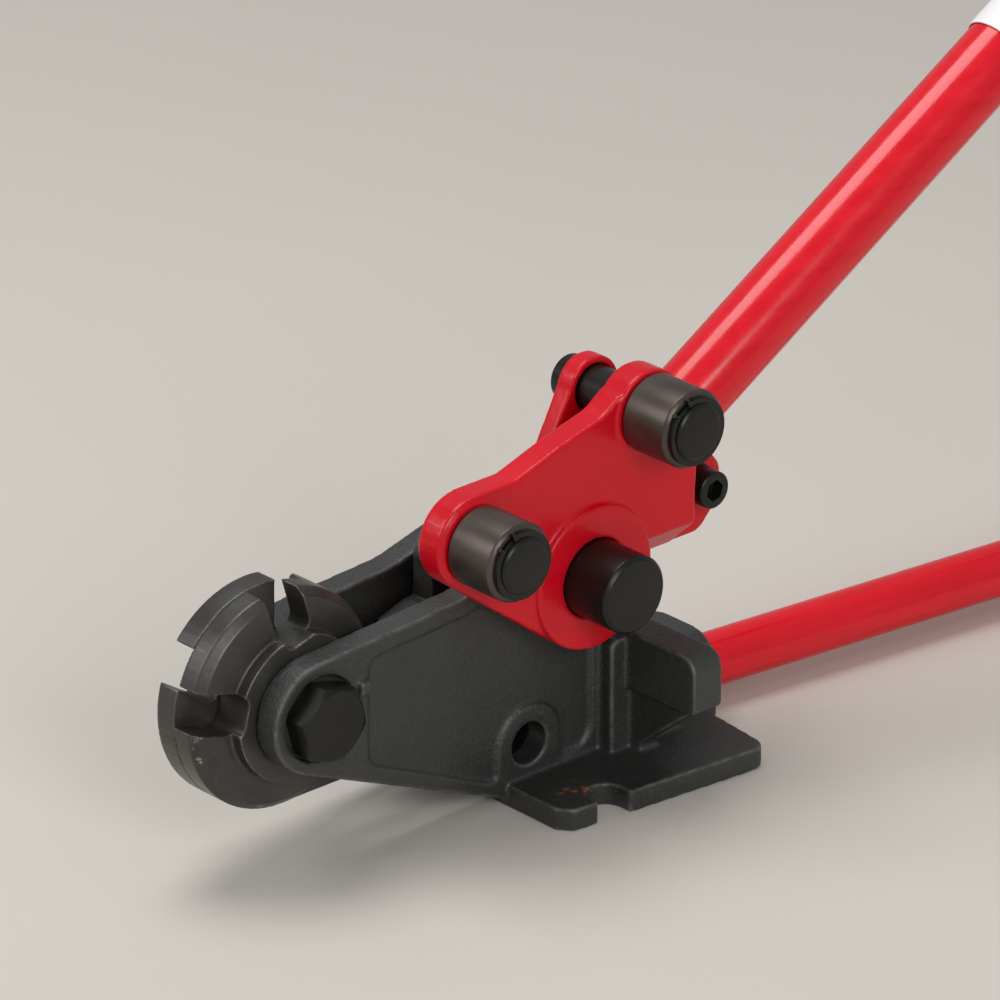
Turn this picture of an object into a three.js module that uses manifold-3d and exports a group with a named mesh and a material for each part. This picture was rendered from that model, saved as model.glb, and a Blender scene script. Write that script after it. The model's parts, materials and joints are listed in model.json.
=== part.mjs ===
// Hand-operated rebar cutter and bender for 13 mm bar.
// Millimetres, +Z up. +X runs from the cutting discs towards the handles, and -Y is the bending side.
// The part's origin is the middle of the sole. The geometry is laid out from the pivot bolt's axis.
import * as THREE from 'three';
import { mergeVertices } from 'three/addons/utils/BufferGeometryUtils.js';
import Module from 'manifold-3d';

const wasm = await Module();
wasm.setup();

// ---------------------------------------------------------------- driving dimensions
const GAP = 0.3;                       // kept between touching pieces
const ARC_STEP = Math.PI / 14;         // longest facet turn on a rounded corner
const SOLE_DROP = 58;                  // bolt axis above the ground
const SOLE_CENTRE_X = 124.5;           // bolt axis to the middle of the sole

const CHEEK_OUTER = 22.5;              // half width over the cheeks
const CHEEK_INNER = 12.5;              // half width of the slot between them
const CHEEK_NOSE = 19.3;               // radius of the cheek round the bolt
const HUB = { x: 106.9, z: 21.3 };     // centre pin axis, from the bolt axis
const HUB_R = 14.5;                    // cheek boss round the centre pin

const REAR_FRONT = 121;                // where the body thickens behind the cheeks
const REAR_HALF = 28.5;
const FOOT = { front: 80, back: 168.5, frontHalf: 51, backHalf: 58.3, thick: 8 };
const FOOT_NOTCH = { x: 100.5, half: 6.5, inner: 41.5 };
const ANVIL = { front: 127.5, back: 140.5, top: -6.4, bottom: -27, reach: 61.2 };
const ACCESS = { x: 90, z: -38, r: 7.5, pad: 13.8 };

const BLADE_R = 40;                    // bolt axis to the notch mouths
const RIM = { x: -2.5, z: 2.2, r: 38 };   // the discs' rims are ground off the bolt's centre
const BLADE_NEAR = { near: -7.7, far: 2.3 };   // moving disc
const BLADE_FAR = { near: 2.6, far: 12.2 };    // fixed disc
const BLADE_BOSS_R = 25.4;
const RIM_CHAMFER = 2.8;
const RIM_SIDES = 72;
const NOTCH = { half: 7, depth: 17.5, corner: 3.5 };
const NOTCHES = [{ mouth: 168.5, axis: 165 }, { mouth: 94, axis: 106 }];
const BLADE_LAG = 17.8;                // degrees between the discs at rest

const BOLT_R = 8;                      // M16
const HEX_M16 = 24;                    // across flats
const PIN_R = 13.5;                    // centre pin, bending end
const PIN_SHANK_R = 10;
const PIN_NEAR = -54.8;
const PIN_FAR = 31;

const PLATE = { front: -33.5, back: -23.5 };       // lever plate outside the near cheek
const TONGUE = { front: -7.5, back: -0.5 };        // lever plate inside the slot
const BOSS_FACE = -35.7;
const LOWER_LUG = { x: -50.7, z: 27.1, r: 16 };    // from the centre pin axis
const UPPER_LUG = { x: 25.2, z: 51.5, r: 14.4 };
const LUG_BOSS = { r: 15, face: -34.2 };
const ROLLER = { r: 13.5, bore: 10.1, near: -55, far: -34.5 };
const JOURNAL_R = 9.8;
const SHANK_R = 8;
const DRIVE = { reach: 26, angle: 168.3, r: 5 };   // pin that works the moving blade
const FORK = { angle: 16.5, half: 7.8, outer: 12.8, bottom: 77, end: 93, near: 0.3, far: 10 };

const HANDLE_ANGLE = 31;               // upper handle above the horizontal
const HANDLE_Y = -17;
const HANDLE_OFFSET = 5.5;             // handle axis passes this far above the centre pin
const UPPER_TUBE = { r: 12.7, wall: 2.3, start: 32, end: 930 };
const LOWER_TUBE = { r: 9.55, wall: 2.3, start: 134, end: 985, z: -45, yaw: 6.4, pivot: 150 };
const SOCKET_HALF = 19;                // half width of the lower tube's socket
const SET_BOLT = { x: 162, r: 3, flats: 10 };
const GRIP_LENGTH = 130;
const UPPER_GRIP_R = 17.5;
const LOWER_GRIP_R = 13;
const LABEL = { start: 239, length: 120, thick: 0.6 };
const CLAMP = { x: 57.3, z: 12.8, face: -21.5, back: -6, slit: 1.1 };
const SOCKET = { r: 16.5, start: 22, end: 58 };
const SLOT_CLEAR = 28;                 // lever's open gap, round the cheek's boss

// ---------------------------------------------------------------- materials
const steel = (color, roughness) => new THREE.MeshStandardMaterial({ color, roughness, metalness: 0.8 });
const CAST_BLACK = new THREE.MeshStandardMaterial({ color: 0x34373a, roughness: 0.6, metalness: 0.3 });
const RED_PAINT = new THREE.MeshStandardMaterial({ color: 0xc4161f, roughness: 0.3, metalness: 0.1 });
const BLADE_STEEL = steel(0x3c3a38, 0.4);
const PIN_STEEL = steel(0x2a2826, 0.35);
const ROLLER_STEEL = steel(0x4a4541, 0.35);
const ZINC = steel(0x8b8d90, 0.4);
const RUBBER = new THREE.MeshStandardMaterial({ color: 0x161616, roughness: 0.8 });
const LABEL_WHITE = new THREE.MeshStandardMaterial({ color: 0xf2f2ee, roughness: 0.5 });

// ---------------------------------------------------------------- solids
const radians = (degrees) => degrees * Math.PI / 180;
const polar = (r, degrees) => [r * Math.cos(radians(degrees)), r * Math.sin(radians(degrees))];

/** A closed geometry as a manifold solid. */
function solid(geometry) {
  geometry.deleteAttribute('normal');
  geometry.deleteAttribute('uv');
  const merged = mergeVertices(geometry, 1e-4);
  const corners = merged.index.array;
  const kept = [];
  for (let i = 0; i < corners.length; i += 3) {
    const [a, b, c] = corners.slice(i, i + 3);
    if (a !== b && b !== c && c !== a) kept.push(a, b, c);
  }
  return new wasm.Manifold(new wasm.Mesh({
    numProp: 3,
    vertProperties: new Float32Array(merged.attributes.position.array),
    triVerts: new Uint32Array(kept),
  }));
}

const join = (...pieces) => pieces.reduce((whole, piece) => whole.add(piece));
const cut = (body, ...tools) => tools.reduce((rest, tool) => rest.subtract(tool), body);

/** Polygon whose corners are [x, y, radius]; a radius rounds its corner with an arc. */
function outline(corners) {
  const points = [];
  corners.forEach(([x, y, radius = 0], i) => {
    const corner = new THREE.Vector2(x, y);
    if (!radius) {
      points.push(corner);
      return;
    }
    const [px, py] = corners.at(i - 1);
    const [nx, ny] = corners[(i + 1) % corners.length];
    const back = new THREE.Vector2(px, py).sub(corner).normalize();
    const on = new THREE.Vector2(nx, ny).sub(corner).normalize();
    const half = Math.acos(back.dot(on)) / 2;
    const centre = back.clone().add(on).setLength(radius / Math.sin(half)).add(corner);
    const start = back.multiplyScalar(radius / Math.tan(half)).add(corner).sub(centre);
    const end = on.multiplyScalar(radius / Math.tan(half)).add(corner).sub(centre);
    const turn = Math.atan2(start.cross(end), start.dot(end));
    const steps = Math.max(1, Math.ceil(Math.abs(turn) / ARC_STEP));
    for (let k = 0; k <= steps; k += 1) {
      points.push(start.clone().rotateAround(new THREE.Vector2(), turn * k / steps).add(centre));
    }
  });
  return new THREE.Shape(points);
}

const box = (x0, x1, y0, y1) => outline([[x0, y0], [x1, y0], [x1, y1], [x0, y1]]);

const extrude = (shape, depth) =>
  new THREE.ExtrudeGeometry(shape, { depth, bevelEnabled: false, curveSegments: 1 });

/** Outline in X and Z, running along Y from near to far. */
const plate = (shape, near, far) =>
  solid(extrude(shape, far - near).rotateX(Math.PI / 2).translate(0, far, 0));

/** Outline in Y and Z, running along X. */
function barX(shape, x0, x1) {
  const turn = new THREE.Matrix4().makeBasis(
    new THREE.Vector3(0, 1, 0), new THREE.Vector3(0, 0, 1), new THREE.Vector3(1, 0, 0));
  return solid(extrude(shape, x1 - x0).applyMatrix4(turn).translate(x0, 0, 0));
}

/** Outline in X and Y, running along Z. */
const slab = (shape, z0, z1) => solid(extrude(shape, z1 - z0).translate(0, 0, z0));

/** Turned solid about an axis along Y; profile is [radius, y] from one end of the axis to the other. */
function turned(profile, x = 0, z = 0, sides = 24) {
  const points = profile.map(([r, y]) => new THREE.Vector2(r, y));
  return solid(new THREE.LatheGeometry(points, sides).translate(x, 0, z));
}

const rod = (r, near, far, x = 0, z = 0, sides = 24) =>
  turned([[0, near], [r, near], [r, far], [0, far]], x, z, sides);

const ring = (outer, inner, near, far, x = 0, z = 0, sides = 24) =>
  turned([[inner, near], [outer, near], [outer, far], [inner, far], [inner, near]], x, z, sides);

/** Hexagonal rod along Y, with a corner towards -X. */
const hexagon = (flats, near, far) => rod(flats / Math.sqrt(3), near, far, 0, 0, 6).rotate([0, 30, 0]);

/** Round solid on the lower handle's axis, which runs along X and a little towards the bending side. */
function onLowerHandle(profile) {
  const { pivot, yaw, z } = LOWER_TUBE;
  const straight = turned(profile).rotate([0, 0, -90]).translate([-pivot, 0, 0]);
  return straight.rotate([0, 0, -yaw]).translate([pivot, 0, z]);
}

/** Outline of two circles and the straight lines that wrap them. */
function strap(a, b) {
  const along = Math.atan2(b.z - a.z, b.x - a.x);
  const lean = Math.acos((a.r - b.r) / Math.hypot(b.x - a.x, b.z - a.z));
  const points = [];
  const arc = (c, from, to) => {
    const steps = Math.ceil((to - from) / ARC_STEP);
    for (let k = 0; k <= steps; k += 1) {
      const t = from + (to - from) * k / steps;
      points.push(new THREE.Vector2(c.x + c.r * Math.cos(t), c.z + c.r * Math.sin(t)));
    }
  };
  arc(b, along - lean, along + lean);
  arc(a, along + lean, along - lean + 2 * Math.PI);
  return new THREE.Shape(points);
}

// ---------------------------------------------------------------- base casting
const noseTop = (x) => CHEEK_NOSE / Math.cos(radians(3.5)) + x * Math.tan(radians(3.5));
const noseBottom = (x) => -CHEEK_NOSE / Math.cos(radians(23.3)) - x * Math.tan(radians(23.3));

function cheek(near, far) {
  const profile = outline([
    [-CHEEK_NOSE, noseTop(-CHEEK_NOSE), CHEEK_NOSE],
    [-CHEEK_NOSE, noseBottom(-CHEEK_NOSE), CHEEK_NOSE],
    [FOOT.front, noseBottom(FOOT.front)],
    [FOOT.front, -SOLE_DROP],
    [REAR_FRONT + 10, -SOLE_DROP],
    [HUB.x + HUB_R, HUB.z],
    [HUB.x + HUB_R * Math.cos(radians(120)), HUB.z + HUB_R * Math.sin(radians(120))],
    [84, 29.2, 12],
    [62, noseTop(62), 20],
  ]);
  return join(plate(profile, near, far), rod(HUB_R, near, far, HUB.x, HUB.z, 40));
}

function footprint() {
  const { front, back, frontHalf, backHalf } = FOOT;
  const side = [[front, 46, 3], [front + 4, frontHalf, 3], [back - 3.5, backHalf, 6], [back, 25]];
  const far = side.map(([x, y, r]) => [x, y, r]).reverse();
  const near = side.map(([x, y, r]) => [x, -y, r]);
  return outline([...near, ...far]);
}

function footNotch(sign) {
  const edge = sign * (FOOT.backHalf + 2);
  const inner = sign * FOOT_NOTCH.inner;
  const left = FOOT_NOTCH.x - FOOT_NOTCH.half;
  const right = FOOT_NOTCH.x + FOOT_NOTCH.half;
  const bend = FOOT_NOTCH.half - 0.3;
  const corners = [[left, edge], [right, edge], [right, inner, bend], [left, inner, bend]];
  return slab(outline(sign > 0 ? corners.reverse() : corners), -SOLE_DROP - 1, -SOLE_DROP + FOOT.thick + 1);
}

/** Shallow panel cast into a cheek's outer face, clear of the boss and the access pad. */
function panel(near, far) {
  const field = outline([
    [20, noseBottom(20) + 6.5, 6], [20, noseTop(20) - 6, 6], [62, noseTop(62) - 6, 12], [90, 24, 4],
    [REAR_FRONT - 3, 24, 4], [REAR_FRONT - 3, -47, 8], [72, -47, 6],
  ]);
  const pad = outline([
    [ACCESS.x - ACCESS.pad, -60], [ACCESS.x + ACCESS.pad, -60],
    [ACCESS.x + ACCESS.pad, ACCESS.z], [ACCESS.x - ACCESS.pad, ACCESS.z],
  ]);
  return cut(
    plate(field, near, far),
    rod(HUB_R + 3, near - 1, far + 1, HUB.x, HUB.z),
    rod(ACCESS.pad, near - 1, far + 1, ACCESS.x, ACCESS.z),
    plate(pad, near - 1, far + 1),
  );
}

function rearBody() {
  const profile = outline([
    [REAR_FRONT, -SOLE_DROP], [152, -SOLE_DROP], [152, -22, 6], [144, -9, 6], [REAR_FRONT, -9, 3],
  ]);
  const socket = outline([
    [-SOCKET_HALF, -SOLE_DROP], [SOCKET_HALF, -SOLE_DROP],
    [SOCKET_HALF, LOWER_TUBE.z + 17, 12], [-SOCKET_HALF, LOWER_TUBE.z + 17, 12],
  ]);
  return join(plate(profile, -REAR_HALF, REAR_HALF), barX(socket, 140, LOWER_TUBE.start + 45));
}

function anvil() {
  const { front, back, top, bottom, reach } = ANVIL;
  const block = outline([
    [-reach, bottom, 2], [-20, bottom], [-20, top], [-reach, top, 6],
  ]);
  const root = -SOLE_DROP + FOOT.thick;
  const gusset = outline([
    [-reach + 2, bottom + 1], [-33.5, root + 3], [-33.5, root - 1], [-20, root - 1], [-20, bottom + 1],
  ]);
  return join(barX(block, front, back), barX(gusset, front + 2, back - 3));
}

function baseCasting() {
  const cheeks = join(cheek(-CHEEK_OUTER, -CHEEK_INNER), cheek(CHEEK_INNER, CHEEK_OUTER));
  const sole = slab(footprint(), -SOLE_DROP, -SOLE_DROP + FOOT.thick);
  const nib = plate(box(15.5, 20, 3.5, 8), -CHEEK_OUTER - 2, -CHEEK_OUTER + 1);
  const body = join(cheeks, sole, rearBody(), anvil(), nib);
  return cut(
    body,
    panel(-CHEEK_OUTER - 1, -CHEEK_OUTER + 1.4),
    panel(CHEEK_OUTER - 1.4, CHEEK_OUTER + 1),
    rod(14.8, -CHEEK_OUTER - 1, -CHEEK_OUTER + 2.5, 0, 0, 40),
    rod(BOLT_R + GAP, -30, 30),
    rod(PIN_SHANK_R + GAP, -40, 40, HUB.x, HUB.z, 32),
    rod(ACCESS.r, -30, -10, ACCESS.x, ACCESS.z),
    footNotch(-1),
    footNotch(1),
    onLowerHandle([[0, LOWER_TUBE.start - 2], [LOWER_TUBE.r + GAP, LOWER_TUBE.start - 2],
      [LOWER_TUBE.r + GAP, 200], [0, 200]]),
    rod(SET_BOLT.r + GAP, 5, 40, SET_BOLT.x, LOWER_TUBE.z, 12),
    ...DOWELS.map(([x, z]) => rod(4 + GAP, CHEEK_INNER - 5, 30, x, z, 16)),
  );
}

// ---------------------------------------------------------------- cutting discs
const DOWELS = [[24, 9], [24, -10]];

/** Bar notch that opens at the rim: its mouth's place and its axis are angles about the bolt. */
function notch({ mouth, axis }, lag, near, far) {
  const { half, depth, corner } = NOTCH;
  const slot = outline([[-depth, half, corner], [-depth, -half, corner], [9, -half], [9, half]]);
  const [x, z] = polar(BLADE_R, mouth - lag);
  return plate(slot, near - 1, far + 1).rotate([0, -(axis - lag), 0]).translate([x, 0, z]);
}

function movingBlade() {
  const { near, far } = BLADE_NEAR;
  const bossFace = -CHEEK_INNER + GAP;
  const disc = turned([
    [0, near], [RIM.r - RIM_CHAMFER, near], [RIM.r, near + RIM_CHAMFER], [RIM.r, far], [0, far],
  ], RIM.x, RIM.z, RIM_SIDES);
  const boss = rod(BLADE_BOSS_R, bossFace, near + 1, 0, 0, 48);
  const armFace = near + RIM_CHAMFER;
  const arm = plate(outline([
    [RIM.x, RIM.z - RIM.r], [34, RIM.z - RIM.r, 14], [70, -12, 10], [77, 13], [64, 12, 8], [34, 6],
  ]), armFace, far);
  const step = plate(outline([[52, -18], [70, -10], [77, 13], [64, 12], [52, 8]]), armFace, FORK.far);
  const { half, outer, bottom, end } = FORK;
  const fork = outline([[66, -outer], [end, -outer + 3, 4], [end, outer - 3, 4], [74, outer, 8], [71.5, 3]]);
  const throat = outline([[bottom, -half, 6], [end + 5, -half], [end + 5, half], [bottom, half, 6]]);
  const head = cut(
    plate(fork, FORK.near, FORK.far),
    plate(throat, FORK.near - 1, FORK.far + 1),
  ).rotate([0, -FORK.angle, 0]);
  return cut(
    join(disc, boss, arm, step, head),
    rod(BOLT_R + GAP, -20, 20),
    ...NOTCHES.map((place) => notch(place, 0, bossFace, far)),
  );
}

function fixedBlade() {
  const { near, far } = BLADE_FAR;
  return cut(
    turned([
      [0, near], [RIM.r, near], [RIM.r, far - RIM_CHAMFER / 2], [RIM.r - RIM_CHAMFER / 2, far], [0, far],
    ], RIM.x, RIM.z, RIM_SIDES),
    rod(BOLT_R + GAP, -20, 20),
    ...NOTCHES.map((place) => notch(place, BLADE_LAG, near, far)),
    ...DOWELS.map(([x, z]) => rod(4 + GAP, far - 6, far + 1, x, z, 16)),
  );
}

function pivotBolt() {
  const under = -CHEEK_OUTER + 2.5 - GAP;
  return join(hexagon(HEX_M16, under - 9.5, under), rod(BOLT_R, under - 1, CHEEK_OUTER + 0.8));
}

// ---------------------------------------------------------------- lever, laid out from the centre pin
const [DRIVE_X, DRIVE_Z] = polar(DRIVE.reach, DRIVE.angle);
const along = new THREE.Vector2(...polar(1, HANDLE_ANGLE));
const across = new THREE.Vector2(-along.y, along.x);

/** Point on the handle's plane: s along its axis, n above it. */
const onHandle = (s, n) => [
  along.x * s + across.x * (HANDLE_OFFSET + n),
  along.y * s + across.y * (HANDLE_OFFSET + n),
];

/** Round solid on the handle's axis, from s0 to s1. */
function handleRod(profile, sides = 24) {
  const [x, z] = onHandle(0, 0);
  const level = turned(profile, 0, 0, sides).rotate([0, 0, -90]);
  return level.rotate([0, -HANDLE_ANGLE, 0]).translate([x, HANDLE_Y, z]);
}

/** Outer plate, with a lug for each roller and a raised boss round the centre pin. */
function leverPlate() {
  const { front, back } = PLATE;
  const hub = { x: 0, z: 0, r: 25 };
  const web = outline([
    [-52, 43.1], [LOWER_LUG.x, LOWER_LUG.z], [0, 0], [12, -20], [22, 4.5, 3], [45.6, 6.4, 2.5], [48, 32],
    [UPPER_LUG.x + 14, UPPER_LUG.z], [UPPER_LUG.x, UPPER_LUG.z + 10], [12.3, 60], [5.5, 55, 10],
    [-14, 49.8, 20], [-33, 43.5, 10],
  ]);
  return join(
    plate(strap(hub, LOWER_LUG), front, back),
    rod(UPPER_LUG.r, front, back, UPPER_LUG.x, UPPER_LUG.z, 40),
    plate(web, front, back),
    rod(hub.r, BOSS_FACE, front + 1, 0, 0, 48),
    ...[LOWER_LUG, UPPER_LUG].map(({ x, z }) => rod(LUG_BOSS.r - 0.8, LUG_BOSS.face, front + 1, x, z, 40)),
  );
}

/** Inner plate, in the slot between the cheeks. */
function leverTongue() {
  const { front, back } = TONGUE;
  const lug = { x: UPPER_LUG.x, z: UPPER_LUG.z, r: 10.8 };
  const web = outline([
    [-14, 8], [0, -16], [26, 4], [48, 14], [48, 40], [lug.x + 9, lug.z + 5], [lug.x, lug.z],
    [lug.x - 10, lug.z + 3], [5, 35, 12],
  ]);
  return join(
    rod(16.5, front, back),
    rod(lug.r, front, back, lug.x, lug.z, 36),
    plate(web, front, back),
    plate(strap({ x: 0, z: 0, r: 16.5 }, { x: DRIVE_X, z: DRIVE_Z, r: 9 }), front, back),
  );
}

/** Split socket for the upper handle, with the web that carries its clamp screw. */
function leverSocket() {
  const { r, start, end } = SOCKET;
  const barrel = handleRod([[0, start], [r, start], [r, end], [0, end]], 40);
  const core = plate(outline([
    [22, 6], [46, 6.4], [47.8, 27], onHandle(48, r), onHandle(24, r),
  ]), PLATE.front, TONGUE.back);
  const ear = plate(outline([
    [22, 4], [32, -6, 6], [60, -6, 7], [69.5, 4, 8], [69.5, 16, 7], [62, 25], [46, 25], [22, 14],
  ]), PLATE.front, CLAMP.back);
  const earFace = plate(box(47, 80, -12, 60), PLATE.front - 1, CLAMP.face);
  const draft = barX(outline([
    [PLATE.front - 2, -12], [CLAMP.face, -12], [CLAMP.face, -6], [PLATE.front, 5.6], [PLATE.front - 2, 5.6],
  ]), 0, 80);
  return join(
    cut(join(barrel, core), rod(SLOT_CLEAR, PLATE.back, TONGUE.front, 0, 0, 32)),
    cut(ear, earFace, draft, rod(SLOT_CLEAR, PLATE.back, TONGUE.front, 0, 0, 32)),
  );
}

function leverHead() {
  const slit = outline([onHandle(30, -6), onHandle(30, -60), [80, -20], [80, 20], onHandle(76, 0)].reverse());
  const { start, r } = UPPER_TUBE;
  return cut(
    join(leverPlate(), leverTongue(), leverSocket()),
    rod(PIN_R + GAP, -40, PLATE.back + 1, 0, 0, 32),
    rod(PIN_SHANK_R + GAP, -40, 10, 0, 0, 32),
    rod(SHANK_R + GAP, -40, 10, LOWER_LUG.x, LOWER_LUG.z),
    rod(SHANK_R + GAP, -40, 10, UPPER_LUG.x, UPPER_LUG.z),
    rod(DRIVE.r + GAP, -10, 10, DRIVE_X, DRIVE_Z, 16),
    handleRod([[0, start - 1.5], [r + GAP, start - 1.5], [r + GAP, 90], [0, 90]]),
    plate(slit, HANDLE_Y - CLAMP.slit, HANDLE_Y + CLAMP.slit),
    rod(4 + GAP, -40, 10, CLAMP.x, CLAMP.z, 16),
    rod(7.6, -40, CLAMP.face, CLAMP.x, CLAMP.z),
  );
}

function rollerPin(far) {
  const face = ROLLER.near - 3;
  const shoulder = LUG_BOSS.face - GAP;
  return [
    [0, face], [JOURNAL_R - 1, face], [JOURNAL_R, face + 1], [JOURNAL_R - 0.9, face + 1],
    [JOURNAL_R - 0.9, ROLLER.near - GAP], [JOURNAL_R, ROLLER.near - GAP], [JOURNAL_R, shoulder],
    [SHANK_R, shoulder], [SHANK_R, far - 1], [SHANK_R - 1, far], [0, far],
  ];
}

/** External circlip; its two eared ends stand either side of the opening, an angle in degrees. */
function circlip(inner, outer, near, far, x, z, opening) {
  const ears = [opening - 20, opening + 20].map((angle) => {
    const [ex, ez] = polar(outer - 1, angle);
    return rod(1.9, near, far, x + ex, z + ez, 10);
  });
  const [gx, gz] = polar(outer + 4, opening);
  const [lx, lz] = polar(2, opening + 90);
  const wedge = plate(outline([
    [x + lx, z + lz], [x - lx, z - lz],
    [x + gx - 1.6 * lx, z + gz - 1.6 * lz], [x + gx + 1.6 * lx, z + gz + 1.6 * lz],
  ]), near - 1, far + 1);
  return cut(join(ring(outer, inner, near, far, x, z), ...ears), wedge, rod(inner, near - 1, far + 1, x, z));
}

// ---------------------------------------------------------------- assembly
const tool = new THREE.Group();
tool.position.set(-SOLE_CENTRE_X, 0, SOLE_DROP);
const lever = new THREE.Group();
lever.position.set(HUB.x, 0, HUB.z);
tool.add(lever);

function add(group, name, body, material) {
  const { vertProperties, triVerts } = body.getMesh();
  const geometry = new THREE.BufferGeometry();
  geometry.setAttribute('position', new THREE.BufferAttribute(vertProperties, 3));
  geometry.setIndex(new THREE.BufferAttribute(triVerts, 1));
  const piece = new THREE.Mesh(geometry, material);
  piece.name = name;
  group.add(piece);
}

function addBase() {
  add(tool, 'base_casting', baseCasting(), CAST_BLACK);
  add(tool, 'pivot_bolt', pivotBolt(), PIN_STEEL);
  add(tool, 'fixed_blade', fixedBlade(), BLADE_STEEL);
  add(tool, 'moving_blade', movingBlade(), BLADE_STEEL);
  DOWELS.forEach(([x, z], i) => {
    const dowel = rod(4, BLADE_FAR.far - 6 + GAP, CHEEK_OUTER - 0.5, x, z, 16);
    add(tool, `fixed_blade_dowel_${['upper', 'lower'][i]}`, dowel, PIN_STEEL);
  });
}

function addCentrePin() {
  const shoulder = -CHEEK_OUTER - GAP;
  const far = CHEEK_OUTER + 3;
  const groove = [far + GAP, far + 2.4];
  const r = PIN_SHANK_R;
  const profile = [
    [0, PIN_NEAR], [PIN_R - 1.2, PIN_NEAR], [PIN_R, PIN_NEAR + 1.2], [PIN_R, shoulder], [r, shoulder],
    [r, groove[0]], [r - 1, groove[0]], [r - 1, groove[1]], [r, groove[1]],
    [r, PIN_FAR - 1], [r - 1, PIN_FAR], [0, PIN_FAR],
  ];
  add(tool, 'centre_pin', turned(profile, HUB.x, HUB.z, 32), PIN_STEEL);
  add(tool, 'centre_pin_washer', ring(12.6, r + GAP, CHEEK_OUTER + GAP, far, HUB.x, HUB.z, 32), PIN_STEEL);
  const clip = circlip(r - 0.7, 11.8, far + 0.6, far + 2.1, HUB.x, HUB.z, 290);
  add(tool, 'centre_pin_circlip', clip, PIN_STEEL);
  add(lever, 'lever_spacer', ring(16, r + GAP, -CHEEK_INNER + GAP, TONGUE.front - GAP, 0, 0, 32), PIN_STEEL);
}

function addLever() {
  add(lever, 'lever_head', leverHead(), RED_PAINT);
  add(lever, 'drive_pin', join(
    rod(DRIVE.r, TONGUE.front + 1, FORK.far, DRIVE_X, DRIVE_Z, 20),
    rod(DRIVE.r + 2, TONGUE.front - 2, TONGUE.front - GAP, DRIVE_X, DRIVE_Z, 20),
    rod(DRIVE.r, TONGUE.front - 1, TONGUE.front + 2, DRIVE_X, DRIVE_Z, 20),
  ), PIN_STEEL);
  const places = [['lower', LOWER_LUG, PLATE.back - GAP], ['upper', UPPER_LUG, 6.2]];
  places.forEach(([name, { x, z }, far]) => {
    const bush = turned([
      [ROLLER.bore, ROLLER.near], [ROLLER.r - 1, ROLLER.near], [ROLLER.r, ROLLER.near + 1],
      [ROLLER.r, ROLLER.far - 1], [ROLLER.r - 1, ROLLER.far], [ROLLER.bore, ROLLER.far],
      [ROLLER.bore, ROLLER.near],
    ], x, z, 32);
    add(lever, `${name}_roller`, bush, ROLLER_STEEL);
    add(lever, `${name}_roller_pin`, turned(rollerPin(far), x, z, 24), PIN_STEEL);
    add(lever, `${name}_roller_circlip`,
      circlip(JOURNAL_R - 0.6, 12, ROLLER.near - 1.7, ROLLER.near - 0.5, x, z, 125), PIN_STEEL);
  });
  add(lever, 'clamp_screw', clampScrew(), PIN_STEEL);
  const washer = ring(7, 4 + GAP, CLAMP.face - 1.9, CLAMP.face - GAP, CLAMP.x, CLAMP.z, 20);
  add(lever, 'clamp_washer', washer, PIN_STEEL);
}

function clampScrew() {
  const seat = CLAMP.face - 1.9 - GAP;
  const socket = rod(3.9, seat - 9, seat - 4, CLAMP.x, CLAMP.z, 6);
  return cut(join(
    rod(6.5, seat - 8, seat, CLAMP.x, CLAMP.z, 20),
    rod(4, seat - 1, CLAMP.back - 1, CLAMP.x, CLAMP.z, 16),
  ), socket);
}

function tubeProfile(r, wall, start, end) {
  return [[r - wall, start], [r, start], [r, end], [r - wall, end], [r - wall, start]];
}

/** Rubber grip with a closed, rounded end that stands past the tube. */
function gripProfile(inner, outer, tubeEnd) {
  const start = tubeEnd - GRIP_LENGTH;
  return [
    [inner, start], [outer - 1, start], [outer, start + 1.5], [outer, tubeEnd], [outer - 4, tubeEnd + 5],
    [0, tubeEnd + 5], [0, tubeEnd + GAP], [inner, tubeEnd + GAP], [inner, start],
  ];
}

function addHandles() {
  const { r, wall, start, end } = UPPER_TUBE;
  add(lever, 'upper_handle_tube', handleRod(tubeProfile(r, wall, start, end)), RED_PAINT);
  add(lever, 'upper_grip', handleRod(gripProfile(r + GAP, UPPER_GRIP_R, end)), RUBBER);
  const labelR = r + GAP + LABEL.thick;
  const label = tubeProfile(labelR, LABEL.thick, LABEL.start, LABEL.start + LABEL.length);
  add(lever, 'blank_label', handleRod(label), LABEL_WHITE);

  const lowerTube = tubeProfile(LOWER_TUBE.r, LOWER_TUBE.wall, LOWER_TUBE.start, LOWER_TUBE.end);
  add(tool, 'lower_handle_tube', onLowerHandle(lowerTube), RED_PAINT);
  const lowerGrip = gripProfile(LOWER_TUBE.r + GAP, LOWER_GRIP_R, LOWER_TUBE.end);
  add(tool, 'lower_grip', onLowerHandle(lowerGrip), RUBBER);
  const sideways = (SET_BOLT.x - LOWER_TUBE.pivot) * Math.tan(radians(LOWER_TUBE.yaw));
  const tip = LOWER_TUBE.r - sideways + 3 * GAP;
  const setBolt = join(
    hexagon(SET_BOLT.flats, SOCKET_HALF + GAP, SOCKET_HALF + 4.5),
    rod(SET_BOLT.r, tip, SOCKET_HALF + 1, 0, 0, 12),
  ).translate([SET_BOLT.x, 0, LOWER_TUBE.z]);
  add(tool, 'handle_set_bolt', setBolt, ZINC);
}

addBase();
addCentrePin();
addLever();
addHandles();

export default tool;
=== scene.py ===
"""Looks for the hand-operated rebar cutter and bender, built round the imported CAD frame."""
import json
import math

import bmesh
import bpy
from mathutils import Matrix, Vector


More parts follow.
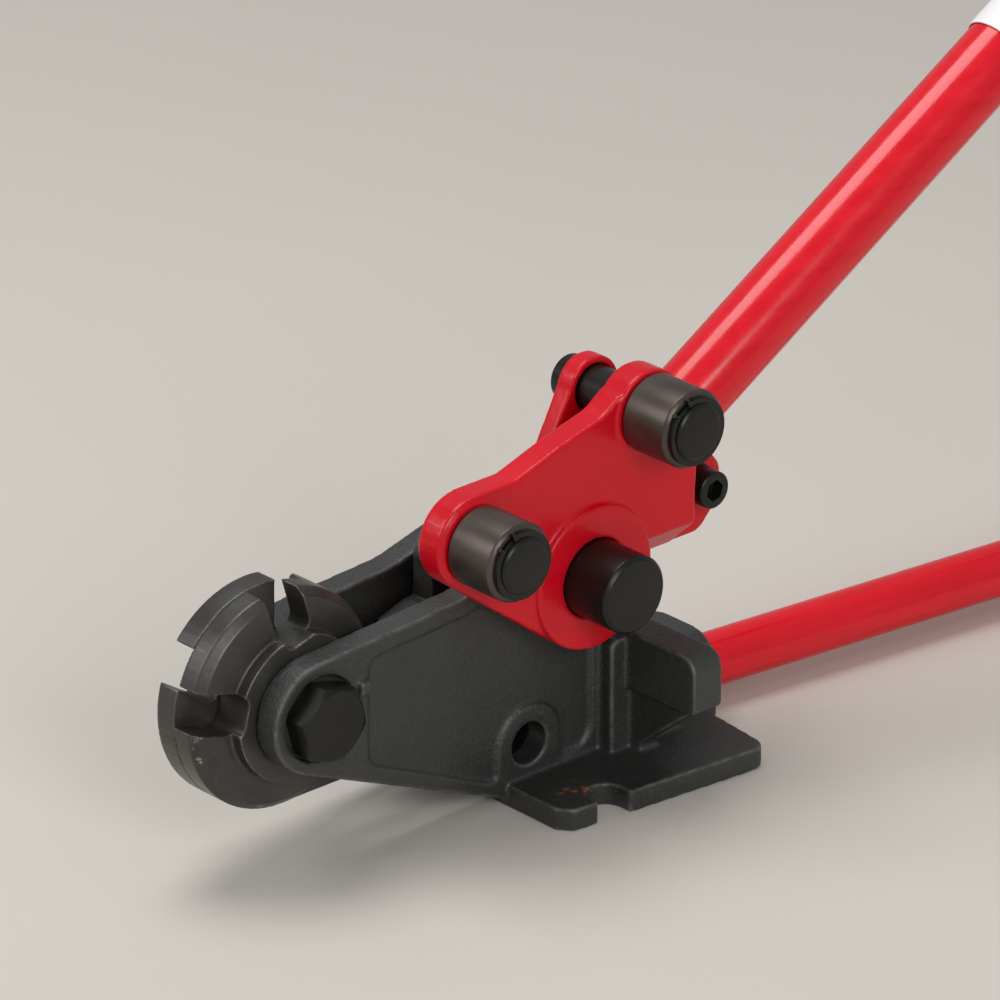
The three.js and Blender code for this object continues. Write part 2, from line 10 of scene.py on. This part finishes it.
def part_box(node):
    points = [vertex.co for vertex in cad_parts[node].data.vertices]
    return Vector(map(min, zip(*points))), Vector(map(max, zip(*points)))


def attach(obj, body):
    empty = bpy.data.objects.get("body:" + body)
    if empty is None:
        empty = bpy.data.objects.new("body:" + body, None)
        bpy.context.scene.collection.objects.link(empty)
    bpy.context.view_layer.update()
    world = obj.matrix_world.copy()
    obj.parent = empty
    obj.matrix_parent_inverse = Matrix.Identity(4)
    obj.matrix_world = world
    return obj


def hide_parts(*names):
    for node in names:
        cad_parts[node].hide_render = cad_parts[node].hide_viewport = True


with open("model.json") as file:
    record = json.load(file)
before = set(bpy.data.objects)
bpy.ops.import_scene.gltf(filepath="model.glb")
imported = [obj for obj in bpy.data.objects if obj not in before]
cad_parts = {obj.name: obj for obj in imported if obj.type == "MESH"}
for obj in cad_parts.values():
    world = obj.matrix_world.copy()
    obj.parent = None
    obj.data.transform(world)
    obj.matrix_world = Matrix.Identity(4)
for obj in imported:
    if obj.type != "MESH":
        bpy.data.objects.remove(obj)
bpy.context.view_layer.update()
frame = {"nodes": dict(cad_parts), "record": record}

MM = 0.001
GAP = 0.3 * MM
CHEEK_HALF = 22.5 * MM
SHANK_R = 10 * MM                # centre pin, inside the cheeks
ROLLER_BORE_R = 10.1 * MM
PIVOT_HEAD = 9.5 * MM            # height of the pivot bolt's head
PIVOT_SHANK_R = 8 * MM
DRIVE_HEAD = 1.7 * MM
DRIVE_SHANK_R = 5 * MM
CLAMP_HEAD = 8 * MM
CLAMP_SHANK_R = 4 * MM
SET_SHANK_R = 3 * MM
ROLLER_SHANK_R = 8 * MM
TUBE_WALL = 2.3 * MM
UPPER_TUBE_R = 12.7 * MM
LOWER_TUBE_R = 9.55 * MM
UPPER_GRIP_R = 17.5 * MM
LOWER_GRIP_R = 13 * MM
RUST_PLACE = Vector((-0.030, -0.039, 0.008))   # on the foot, beside the near slot
GROUPS = frame["record"]["behaviour"]["bodies"]
BODY_OF = {node: body for body, nodes in GROUPS.items() for node in nodes}
SLOT_OF = {part["node"]: part["material_slot"] for part in frame["record"]["subparts"]}
Y_AXIS = Vector((0, 1, 0))
ROUND_SIDES = 96


# ---------------------------------------------------------------- node materials
class Shader:
    """A material's node tree, with short ways to add the nodes used here."""

    def __init__(self, name):
        self.material = bpy.data.materials.new(name)
        self.material.use_nodes = True
        self.nodes = self.material.node_tree.nodes
        self.links = self.material.node_tree.links
        self.surface = self.nodes["Principled BSDF"]
        self.place = self.nodes.new("ShaderNodeTexCoord").outputs["Object"]

    def node(self, kind, inputs=None, **settings):
        made = self.nodes.new(kind)
        for key, value in settings.items():
            setattr(made, key, value)
        for key, value in (inputs or {}).items():
            if isinstance(value, bpy.types.NodeSocket):
                self.links.new(value, made.inputs[key])
            else:
                made.inputs[key].default_value = value
        return made

    def noise(self, scale, detail=4.0, roughness=0.55, distortion=0.0, place=None):
        values = {"Vector": place or self.place, "Scale": scale, "Detail": detail,
                  "Roughness": roughness, "Distortion": distortion}
        return self.node("ShaderNodeTexNoise", values).outputs["Fac"]

    def stretched(self, x, y, z):
        """Object place scaled by axis, for streaks."""
        return self.node("ShaderNodeMapping", {"Vector": self.place, "Scale": (x, y, z)}).outputs["Vector"]

    def ramp(self, value, low, high, out_low=0.0, out_high=1.0):
        values = {"Value": value, "From Min": low, "From Max": high, "To Min": out_low, "To Max": out_high}
        return self.node("ShaderNodeMapRange", values).outputs["Result"]

    def math(self, operation, a, b):
        return self.node("ShaderNodeMath", {0: a, 1: b}, operation=operation, use_clamp=True).outputs["Value"]

    def mix(self, factor, a, b):
        made = self.node("ShaderNodeMix", {"Factor": factor}, data_type="RGBA")
        for socket, value in (("A", a), ("B", b)):
            target = next(s for s in made.inputs if s.name == socket and s.type == "RGBA")
            if isinstance(value, bpy.types.NodeSocket):
                self.links.new(value, target)
            else:
                target.default_value = (*value, 1.0)
        return next(s for s in made.outputs if s.type == "RGBA")

    def edges(self, low, high):
        """1 along convex edges of a dense mesh, 0 elsewhere."""
        return self.ramp(self.node("ShaderNodeNewGeometry").outputs["Pointiness"], low, high)

    def near(self, centre, radius):
        """1 at a place on the object, fading to 0 at a radius."""
        distance = self.node("ShaderNodeVectorMath", {0: self.place, 1: centre}, operation="DISTANCE")
        return self.ramp(distance.outputs["Value"], 0.0, radius, 1.0, 0.0)

    def bump(self, height, depth, strength=1.0, under=None):
        values = {"Height": height, "Distance": depth, "Strength": strength}
        if under is not None:
            values["Normal"] = under
        return self.node("ShaderNodeBump", values).outputs["Normal"]

    def finish(self, **sockets):
        for name, value in sockets.items():
            socket = self.surface.inputs[name.replace("_", " ")]
            if isinstance(value, bpy.types.NodeSocket):
                self.links.new(value, socket)
            elif isinstance(value, tuple):
                socket.default_value = (*value, 1.0)
            else:
                socket.default_value = value
        return self.material


def cast_black():
    """Brushed black paint over a sand-cast surface, with grey on convex edges that is partly rubbed wear and
    partly a painted highlight, with rust by the near foot's slot.
    """
    s = Shader("cast_black")
    patches = s.noise(22, 5)
    grain = s.noise(900, 3, 0.6)
    pits = s.noise(320, 2, 0.7)
    paint = s.mix(s.ramp(patches, 0.35, 0.7), (0.019, 0.020, 0.018), (0.031, 0.033, 0.029))
    speckled = s.mix(s.ramp(grain, 0.55, 0.75, 0.0, 0.5), paint, (0.075, 0.078, 0.070))
    # Convex edges lightened to grey: partly rubbed wear, partly a painted highlight standing in for the sheen
    # along the cast edges.
    lighter_edges = s.math("MULTIPLY", s.edges(0.512, 0.55), s.ramp(s.noise(140, 4), 0.3, 0.6))
    edge_wear_and_highlight = s.mix(lighter_edges, speckled, (0.12, 0.12, 0.115))
    specks = s.ramp(s.noise(420, 5, 0.7), 0.53, 0.62)
    spots = s.math("MULTIPLY", s.near(RUST_PLACE, 0.008), specks)
    colour = s.mix(s.math("MULTIPLY", spots, 2.2), edge_wear_and_highlight, (0.26, 0.085, 0.030))
    fine = s.bump(grain, 0.00026, 0.9)
    return s.finish(
        Base_Color=colour, Metallic=0.0, Specular_IOR_Level=0.6,
        Roughness=s.ramp(patches, 0.3, 0.7, 0.38, 0.54), Normal=s.bump(pits, 0.00035, 0.6, fine),
    )


def red_cast():
    """Thick gloss red over a casting: orange peel, a few chips and slightly thin paint on edges."""
    s = Shader("red_cast")
    cloud = s.noise(30, 4)
    thin = s.math("MULTIPLY", s.edges(0.52, 0.57), s.ramp(s.noise(200, 3), 0.4, 0.65))
    body = s.mix(s.ramp(cloud, 0.3, 0.7), (0.55, 0.0020, 0.0110), (0.65, 0.0035, 0.0150))
    colour = s.mix(s.math("MULTIPLY", thin, 0.55), body, (0.66, 0.05, 0.05))
    chips = s.ramp(s.noise(260, 2, 0.4), 0.76, 0.79)
    peel = s.bump(s.noise(420, 2), 0.00016, 0.7)
    lumps = s.bump(s.noise(70, 3), 0.0006, 0.5, peel)
    return s.finish(
        Base_Color=s.mix(chips, colour, (0.30, 0.003, 0.006)), Roughness=s.ramp(cloud, 0.3, 0.7, 0.24, 0.36),
        Specular_IOR_Level=0.25, Coat_Weight=0.10, Coat_Roughness=0.10, Normal=lumps,
    )


def red_tube():
    """Smooth gloss red on drawn tube, with fine lengthwise rub marks."""
    s = Shader("red_tube")
    marks = s.noise(60, 6, 0.6, place=s.stretched(0.25, 4, 4))
    colour = s.mix(s.ramp(marks, 0.35, 0.7), (0.66, 0.0025, 0.0120), (0.76, 0.0050, 0.0170))
    return s.finish(
        Base_Color=colour, Roughness=s.ramp(marks, 0.3, 0.7, 0.17, 0.27),
        Specular_IOR_Level=0.3, Coat_Weight=0.35, Coat_Roughness=0.10,
        Normal=s.bump(s.noise(300, 2), 0.00008, 0.5),
    )


def dark_steel(name, dark, light, edge, scratch, rough, metallic, specular=0.5, worn_edges=False):
    """Blackened steel with a faint oxide mottle and directional scratches; worn edges need a dense mesh."""
    s = Shader(name)
    mottle = s.noise(48, 4, 0.5)
    lines = s.noise(420, 4, 0.6, place=s.stretched(*scratch))
    oxide = s.mix(s.ramp(mottle, 0.3, 0.7), dark, light)
    colour = s.mix(s.ramp(lines, 0.58, 0.82, 0.0, 0.25), oxide, edge)
    if worn_edges:
        lighter_edges = s.math("MULTIPLY", s.edges(0.52, 0.58), s.ramp(s.noise(260, 3), 0.35, 0.6))
        colour = s.mix(lighter_edges, colour, edge)
    return s.finish(
        Base_Color=colour, Metallic=metallic, Specular_IOR_Level=specular,
        Roughness=s.ramp(mottle, 0.3, 0.7, *rough), Normal=s.bump(lines, 0.00005, 0.6),
    )


def zinc():
    """Zinc plate with a faint spangle."""
    s = Shader("zinc")
    spangle = s.noise(400, 3)
    return s.finish(
        Base_Color=s.mix(spangle, (0.22, 0.22, 0.23), (0.36, 0.36, 0.37)), Metallic=0.9,
        Roughness=s.ramp(spangle, 0.3, 0.7, 0.35, 0.5), Normal=s.bump(spangle, 0.00005, 0.6),
    )


def rubber():
    """Dusty black rubber with a fine moulded grain."""
    s = Shader("rubber")
    dust = s.noise(60, 6)
    return s.finish(
        Base_Color=s.mix(s.ramp(dust, 0.45, 0.75), (0.010, 0.010, 0.010), (0.030, 0.029, 0.027)),
        Roughness=0.72, Specular_IOR_Level=0.35, Normal=s.bump(s.noise(1400, 2), 0.00012, 0.7),
    )


def plain_label():
    """Blank white band, slightly grimy."""
    s = Shader("plain_label")
    grime = s.noise(45, 6, 0.65)
    return s.finish(
        Base_Color=s.mix(s.ramp(grime, 0.5, 0.8), (0.86, 0.86, 0.84), (0.70, 0.68, 0.64)),
        Roughness=s.ramp(grime, 0.3, 0.7, 0.38, 0.55), Normal=s.bump(s.noise(500, 2), 0.00005, 0.5),
    )


def floor_finish():
    """Pale warm floor, nearly even."""
    s = Shader("floor_finish")
    cloud = s.noise(3, 5)
    return s.finish(
        Base_Color=s.mix(cloud, (0.60, 0.56, 0.505), (0.65, 0.61, 0.55)), Roughness=0.85,
        Normal=s.bump(s.noise(180, 4), 0.0004, 0.4),
    )


FINISH = {
    "black_cast": cast_black(),
    "red_cast": red_cast(),
    "red_tube": red_tube(),
    "blade_steel": dark_steel(
        "blade_steel", dark=(0.050, 0.047, 0.043), light=(0.082, 0.078, 0.072), edge=(0.26, 0.255, 0.245),
        scratch=(1, 0.3, 1), rough=(0.30, 0.42), metallic=0.55, worn_edges=True),
    "black_oxide_steel": dark_steel(
        "black_oxide_steel", dark=(0.005, 0.005, 0.004), light=(0.010, 0.010, 0.008), edge=(0.03, 0.028, 0.025),
        scratch=(1, 1, 1), rough=(0.28, 0.38), metallic=0.1, specular=0.35),
    "roller_steel": dark_steel(
        "roller_steel", dark=(0.060, 0.046, 0.037), light=(0.100, 0.079, 0.066), edge=(0.20, 0.18, 0.16),
        scratch=(0.4, 3, 0.4), rough=(0.30, 0.40), metallic=0.65),
    "zinc_steel": zinc(),
    "grip_rubber": rubber(),
    "white_label": plain_label(),
}


# ---------------------------------------------------------------- pieces
def stand_in(piece, *nodes):
    """The piece stands for CAD nodes: same body, same material slot."""
    node = nodes[0]
    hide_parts(*nodes)
    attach(piece, BODY_OF[node])
    piece.data.materials.clear()
    piece.data.materials.append(FINISH[SLOT_OF[node]])
    return piece


def new_piece(name, mesh):
    piece = bpy.data.objects.new(name, mesh)
    bpy.context.scene.collection.objects.link(piece)
    return piece


def apply_modifiers(piece):
    """Replaces the piece's mesh with the result of its modifiers."""
    graph = bpy.context.evaluated_depsgraph_get()
    mesh = bpy.data.meshes.new_from_object(piece.evaluated_get(graph))
    piece.modifiers.clear()
    piece.data = mesh


def cast_copy(node, voxel, smooth):
    """A dense copy of a CAD solid whose corners are softened, as a casting's or a forging's are."""
    piece = new_piece(f"{node}_surface", frame["nodes"][node].data.copy())
    remesh = piece.modifiers.new("remesh", "REMESH")
    remesh.mode = "VOXEL"
    remesh.voxel_size = voxel
    soften = piece.modifiers.new("soften", "SMOOTH")
    soften.factor = 0.5
    soften.iterations = smooth
    apply_modifiers(piece)
    piece.data.shade_smooth()
    return piece


def rounded(profile, radius, steps=3):
    """Profile of (radius, place) points with each inner corner replaced by a small arc."""
    points = [Vector(p) for p in profile]
    closed = profile[0] == profile[-1]
    if closed:
        points = points[:-1]
    result = []
    count = len(points)
    for i, corner in enumerate(points):
        if not closed and i in (0, count - 1):
            result.append(corner)
            continue
        before, after = points[i - 1] - corner, points[(i + 1) % count] - corner
        reach = min(radius, 0.45 * before.length, 0.45 * after.length)
        start, end = corner + before.normalized() * reach, corner + after.normalized() * reach
        for k in range(steps + 1):
            t = k / steps
            result.append(start * (1 - t) ** 2 + corner * 2 * t * (1 - t) + end * t ** 2)
    if closed:
        result.append(result[0])
    return result


def turned_mesh(name, profile, centre, axis=Y_AXIS, sides=ROUND_SIDES):
    """Mesh of a profile of (radius, distance along axis) spun about an axis through centre."""
    closed = (profile[0] - profile[-1]).length < 1e-9
    across = axis.orthogonal().normalized()
    basis = Matrix((across, axis.cross(across), axis)).transposed()
    mesh = bmesh.new()
    rings = []
    for radius, place in profile[:-1] if closed else profile:
        turns = 1 if radius < 1e-9 else sides
        angles = [2 * math.pi * k / turns for k in range(turns)]
        spun = [Vector((radius * math.cos(a), radius * math.sin(a), place)) for a in angles]
        rings.append([mesh.verts.new(centre + basis @ p) for p in spun])
    if closed:
        rings.append(rings[0])
    for low, high in zip(rings, rings[1:]):
        for k in range(sides):
            after = k + 1
            corners = [low[k % len(low)], low[after % len(low)], high[after % len(high)], high[k % len(high)]]
            unique = list(dict.fromkeys(corners))
            if len(unique) > 2:
                mesh.faces.new(unique)
    bmesh.ops.recalc_face_normals(mesh, faces=mesh.faces)
    data = bpy.data.meshes.new(name)
    mesh.to_mesh(data)
    mesh.free()
    data.shade_smooth()
    data.set_sharp_from_angle(angle=math.radians(50))
    return data


def turned(name, profile, centre, axis=Y_AXIS, soften=0.4 * MM):
    return new_piece(name, turned_mesh(name, rounded(profile, soften), centre, axis))


def round_box(node):
    """Middle, outer radius and Y limits of a round CAD node whose axis is along Y."""
    low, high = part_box(node)
    centre = Vector(((low.x + high.x) / 2, 0, (low.z + high.z) / 2))
    return centre, (high.x - low.x) / 2, low.y, high.y


def ring_piece(node, bore):
    """Plain ring such as a washer or a spacer."""
    centre, radius, near, far = round_box(node)
    profile = [(bore, near), (radius, near), (radius, far), (bore, far), (bore, near)]
    stand_in(turned(f"{node}_turned", profile, centre), node)


def boolean(piece, tool, operation):
    modifier = piece.modifiers.new("boolean", "BOOLEAN")
    modifier.operation = operation
    modifier.solver = "EXACT"
    modifier.object = tool
    apply_modifiers(piece)
    bpy.data.objects.remove(tool)


def edge_bevel(piece, width, angle=30):
    """Small bevels on a faceted piece; its flat faces stay flat-shaded."""
    modifier = piece.modifiers.new("bevel", "BEVEL")
    modifier.width = width
    modifier.segments = 2
    modifier.limit_method = "ANGLE"
    modifier.angle_limit = math.radians(angle)
    apply_modifiers(piece)
    piece.data.shade_smooth()
    piece.data.set_sharp_from_angle(angle=math.radians(16))


def hexagon(name, flats, near, far, centre, turn=0.0):
    """Hexagonal prism along Y; with no turn, two of its corners point along X."""
    corner = flats / math.sqrt(3)
    profile = [Vector(p) for p in ((0, near), (corner, near), (corner, far), (0, far))]
    data = turned_mesh(name, profile, Vector(), sides=6)
    data.transform(Matrix.Translation(centre) @ Matrix.Rotation(turn, 4, Y_AXIS))
    return new_piece(name, data)


# ---------------------------------------------------------------- base
def build_base():
    stand_in(cast_copy("base_casting", 0.65 * MM, 10), "base_casting")
    for node in ("moving_blade", "fixed_blade"):
        stand_in(cast_copy(node, 0.45 * MM, 2), node)
    for node in ("fixed_blade_dowel_upper", "fixed_blade_dowel_lower"):
        centre, radius, near, far = round_box(node)
        profile = [(0, near), (radius, near), (radius, far), (0, far)]
        stand_in(turned(f"{node}_turned", profile, centre), node)


def build_pivot_bolt():
    """Hexagon head with a chamfered crown on a plain shank."""
    centre, corner, near, far = round_box("pivot_bolt")
    flats = corner * math.sqrt(3)
    under = near + PIVOT_HEAD
    head = hexagon("pivot_bolt_head", flats, near, under, centre)
    crown = 0.96 * flats / 2
    profile = [
        (0, near), (crown, near), (corner + 1 * MM, near + 1.7 * MM), (corner + 1 * MM, under + 1 * MM),
        (0, under + 1 * MM),
    ]
    tool = new_piece("crown", turned_mesh("crown", [Vector(p) for p in profile], centre))
    boolean(head, tool, "INTERSECT")
    bottom = under - 1 * MM
    shank = [(0, bottom), (PIVOT_SHANK_R, bottom), (PIVOT_SHANK_R, far), (0, far)]
    boolean(head, turned("shank", shank, centre, soften=0.8 * MM), "UNION")
    edge_bevel(head, 0.35 * MM)
    stand_in(head, "pivot_bolt")


def build_centre_pin():
    centre, radius, near, far = round_box("centre_pin")
    shoulder = -CHEEK_HALF - GAP
    shank = SHANK_R
    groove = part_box("centre_pin_washer")[1].y + GAP
    profile = [
        (0, near), (radius - 1.3 * MM, near), (radius, near + 1.3 * MM), (radius, shoulder), (shank, shoulder),
        (shank, groove), (shank - 1 * MM, groove), (shank - 1 * MM, groove + 2.1 * MM),
        (shank, groove + 2.1 * MM),
        (shank, far - 1 * MM), (shank - 1 * MM, far), (0, far),
    ]
    stand_in(turned("centre_pin_turned", profile, centre, soften=0.35 * MM), "centre_pin")
    ring_piece("centre_pin_washer", shank + GAP)
    ring_piece("lever_spacer", shank + GAP)
    circlip("centre_pin_circlip", shank - 0.7 * MM, 11.8 * MM, "centre_pin", 290)


def circlip(node, inner, outer, shaft, opening):
    """External circlip: a band that is widest opposite its opening, with a pierced ear either side of it."""
    centre = round_box(shaft)[0]
    near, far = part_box(node)[0].y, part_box(node)[1].y
    middle, half_gap, steps = math.radians(opening), math.radians(13), 72
    start = middle + half_gap
    sweep = 2 * math.pi - 2 * half_gap
    mesh = bmesh.new()
    columns = []
    for k in range(steps + 1):
        angle = start + sweep * k / steps
        from_end = min(k, steps - k) / steps
        ear = 1.9 * MM * math.exp(-(from_end / 0.035) ** 2)
        width = (outer - inner) * (0.72 + 0.28 * math.sin(math.pi * k / steps)) + ear
        away = Vector((math.cos(angle), 0, math.sin(angle)))
        corners = [(inner, near), (inner + width, near), (inner + width, far), (inner, far)]
        columns.append([mesh.verts.new(centre + away * r + Y_AXIS * y) for r, y in corners])
    for a, b in zip(columns, columns[1:]):
        for k in range(4):
            mesh.faces.new([a[k], a[(k + 1) % 4], b[(k + 1) % 4], b[k]])
    mesh.faces.new(columns[0])
    mesh.faces.new(reversed(columns[-1]))
    bmesh.ops.recalc_face_normals(mesh, faces=mesh.faces)
    data = bpy.data.meshes.new(node)
    mesh.to_mesh(data)
    mesh.free()
    piece = new_piece(f"{node}_ring", data)
    for side in (-1, 1):
        angle = middle + side * (half_gap + math.radians(7))
        eye = centre + Vector((math.cos(angle), 0, math.sin(angle))) * (outer - 0.1 * MM)
        profile = [(0, near - MM), (0.75 * MM, near - MM), (0.75 * MM, far + MM), (0, far + MM)]
        drill = turned_mesh("eye", [Vector(p) for p in profile], eye, sides=20)
        boolean(piece, new_piece("eye", drill), "DIFFERENCE")
    edge_bevel(piece, 0.18 * MM, angle=40)
    stand_in(piece, node)


# ---------------------------------------------------------------- lever
def build_rollers():
    for side in ("lower", "upper"):
        centre, radius, near, far = round_box(f"{side}_roller")
        bore = ROLLER_BORE_R
        roller = [
            (bore + 0.8 * MM, near), (radius - 1.1 * MM, near), (radius, near + 1.1 * MM),
            (radius, far - 1.1 * MM),
            (radius - 1.1 * MM, far), (bore, far), (bore, near + 0.8 * MM), (bore + 0.8 * MM, near),
        ]
        stand_in(turned(f"{side}_roller_turned", roller, centre, soften=0.3 * MM), f"{side}_roller")
        build_roller_pin(side, near)


def build_roller_pin(side, roller_face):
    """Pin with a grooved journal for the roller and a thinner shank through the lever."""
    node = f"{side}_roller_pin"
    centre, journal, near, far = round_box(node)
    shank = ROLLER_SHANK_R
    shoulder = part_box(f"{side}_roller")[1].y
    groove = roller_face - GAP
    profile = [
        (0, near), (journal - 1 * MM, near), (journal, near + 1 * MM), (journal - 0.9 * MM, near + 1 * MM),
        (journal - 0.9 * MM, groove), (journal, groove), (journal, shoulder), (shank, shoulder),
        (shank, far - 1 * MM), (shank - 1 * MM, far), (0, far),
    ]
    stand_in(turned(f"{node}_turned", profile, centre, soften=0.3 * MM), node)
    circlip(f"{side}_roller_circlip", journal - 0.6 * MM, 12 * MM, node, 125)


def build_lever():
    stand_in(cast_copy("lever_head", 0.6 * MM, 7), "lever_head")
    centre, radius, near, far = round_box("drive_pin")
    shank = DRIVE_SHANK_R
    head = near + DRIVE_HEAD
    profile = [(0, near), (radius, near), (radius, head), (shank, head), (shank, far), (0, far)]
    stand_in(turned("drive_pin_turned", profile, centre), "drive_pin")
    build_clamp_screw()
    ring_piece("clamp_washer", 4.3 * MM)


def build_clamp_screw():
    """Socket head cap screw."""
    centre, radius, near, far = round_box("clamp_screw")
    seat = near + CLAMP_HEAD
    shank = CLAMP_SHANK_R
    profile = [(0, near), (radius, near), (radius, seat), (shank, seat), (shank, far), (0, far)]
    screw = turned("clamp_screw_turned", profile, centre, soften=0.9 * MM)
    socket = hexagon("socket", 6.6 * MM, near - 1 * MM, near + 4.5 * MM, centre, math.radians(30))
    boolean(screw, socket, "DIFFERENCE")
    edge_bevel(screw, 0.2 * MM, angle=40)
    stand_in(screw, "clamp_screw")


# ---------------------------------------------------------------- handles
def tube_axis(node, radius):
    """Ends of a round CAD tube's axis, from the middles of its end rings of corners."""
    corners = [v.co for v in frame["nodes"][node].data.vertices]
    first = min(corners, key=lambda c: c.x)
    last = max(corners, key=lambda c: c.x)
    reach = 2.3 * radius
    ends = []
    for end in (first, last):
        ring = [c for c in corners if (c - end).length < reach]
        ends.append(sum(ring, Vector()) / len(ring))
    return ends


def on_axis(node, name, profile, axis_node, radius, soften=0.4 * MM):
    """Turned piece on a handle tube's axis, measured from the tube's lever end."""
    start, end = tube_axis(axis_node, radius)
    axis = (end - start).normalized()
    piece = new_piece(name, turned_mesh(name, rounded(profile(start, axis), soften), start, axis))
    return stand_in(piece, node)


def reach_of(node, start, axis):
    """Distances along an axis at which a CAD node begins and ends."""
    places = [(v.co - start).dot(axis) for v in frame["nodes"][node].data.vertices]
    return min(places), max(places)


def build_handle(side, radius, grip_radius):
    tube_node, grip_node = f"{side}_handle_tube", f"{side}_grip"

    def tube(start, axis):
        low, high = reach_of(tube_node, start, axis)
        inner = radius - TUBE_WALL
        return [(inner, low), (radius, low), (radius, high), (inner, high), (inner, low)]

    def grip(start, axis):
        """Moulded grip: a flange, shallow rings along the middle and a domed end."""
        low, high = reach_of(grip_node, start, axis)
        bore, tube_end = radius + GAP, reach_of(tube_node, start, axis)[1]
        outside = [(bore, low), (grip_radius, low), (grip_radius, low + 6 * MM)]
        rings = 16
        pitch = (high - low - 34 * MM) / rings
        for k in range(rings):
            base = low + 10 * MM + k * pitch
            outside += [
                (grip_radius - 1.5 * MM, base), (grip_radius - 1.5 * MM, base + 0.35 * pitch),
                (grip_radius - 0.5 * MM, base + 0.5 * pitch), (grip_radius - 0.5 * MM, base + 0.85 * pitch),
            ]
        outside += [(grip_radius, high - 18 * MM), (grip_radius, high - 8 * MM)]
        outside += [(grip_radius - 3 * MM, high - 2 * MM)]
        outside += [(grip_radius - 7 * MM, high), (0, high), (0, tube_end + GAP), (bore, tube_end + GAP)]
        return [*outside, (bore, low)]

    on_axis(tube_node, f"{side}_tube_drawn", tube, tube_node, radius)
    on_axis(grip_node, f"{side}_grip_moulded", grip, tube_node, radius, 1.2 * MM)


def build_label(radius):
    def band(start, axis):
        low, high = reach_of("blank_label", start, axis)
        inner, outer = radius + GAP, radius + 0.9 * MM
        return [(inner, low), (outer, low), (outer, high), (inner, high), (inner, low)]

    on_axis("blank_label", "blank_label_band", band, "upper_handle_tube", radius, 0.25 * MM)


def build_set_bolt():
    low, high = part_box("handle_set_bolt")
    centre = Vector(((low.x + high.x) / 2, 0, (low.z + high.z) / 2))
    head = hexagon("set_bolt_head", high.z - low.z, high.y - 4.2 * MM, high.y, centre)
    top = high.y - 1 * MM
    shank = [(0, low.y), (SET_SHANK_R, low.y), (SET_SHANK_R, top), (0, top)]
    boolean(head, turned("set_shank", shank, centre), "UNION")
    edge_bevel(head, 0.3 * MM)
    stand_in(head, "handle_set_bolt")


# ---------------------------------------------------------------- stage
def build_stage():
    bpy.ops.mesh.primitive_plane_add(size=14, location=(0, 0, 0))
    floor = bpy.context.object
    floor.name = "floor"
    floor.data.materials.append(FLOOR)


def area_light(name, place, target, size, power, colour=(1, 1, 1)):
    data = bpy.data.lights.new(name, "AREA")
    data.shape = "DISK"
    data.size = size
    data.energy = power
    data.color = colour
    light = bpy.data.objects.new(name, data)
    light.location = place
    light.rotation_euler = (Vector(target) - Vector(place)).to_track_quat("-Z", "Y").to_euler()
    bpy.context.scene.collection.objects.link(light)


def build_lights():
    """Even pale sky, with soft lights overhead, behind on the left and on the viewer's side."""
    world = bpy.data.worlds.new("sky")
    world.use_nodes = True
    background = world.node_tree.nodes["Background"]
    background.inputs["Color"].default_value = (0.96, 0.98, 1.0, 1.0)
    background.inputs["Strength"].default_value = 0.35
    bpy.context.scene.world = world
    bpy.context.scene.view_settings.view_transform = "Standard"
    area_light("overhead", (-0.1, 0.35, 1.5), (0, 0, 0.05), 0.9, 11)
    area_light("left_rear", (-1.3, 0.9, 1.0), (-0.05, 0, 0.06), 0.8, 7)
    area_light("front_fill", (-0.6, -1.8, 1.0), (0, 0, 0.05), 1.0, 17)


def build_camera():
    """Long lens from the cutting end, 42 degrees round and 24 degrees above."""
    distance = 2.3
    scale = 3.05 / MM
    azimuth, elevation = math.radians(-42), math.radians(24)
    aim = Vector((-27.5, 0, 98.3)) * MM
    level = math.cos(elevation)
    back = Vector((math.sin(azimuth) * level, -math.cos(azimuth) * level, math.sin(elevation)))
    data = bpy.data.cameras.new("camera")
    data.sensor_width = 36
    data.lens = 36 * scale * distance / 1000
    data.clip_end = 50
    camera = bpy.data.objects.new("camera", data)
    camera.location = aim + back * distance
    camera.rotation_mode = "QUATERNION"
    camera.rotation_quaternion = (-back).to_track_quat("-Z", "Y")
    bpy.context.scene.collection.objects.link(camera)
    bpy.context.scene.camera = camera


FLOOR = floor_finish()
build_camera()
build_base()
build_pivot_bolt()
build_centre_pin()
build_rollers()
build_lever()
build_handle("upper", UPPER_TUBE_R, UPPER_GRIP_R)
build_handle("lower", LOWER_TUBE_R, LOWER_GRIP_R)
build_label(UPPER_TUBE_R)
build_set_bolt()
build_stage()
build_lights()
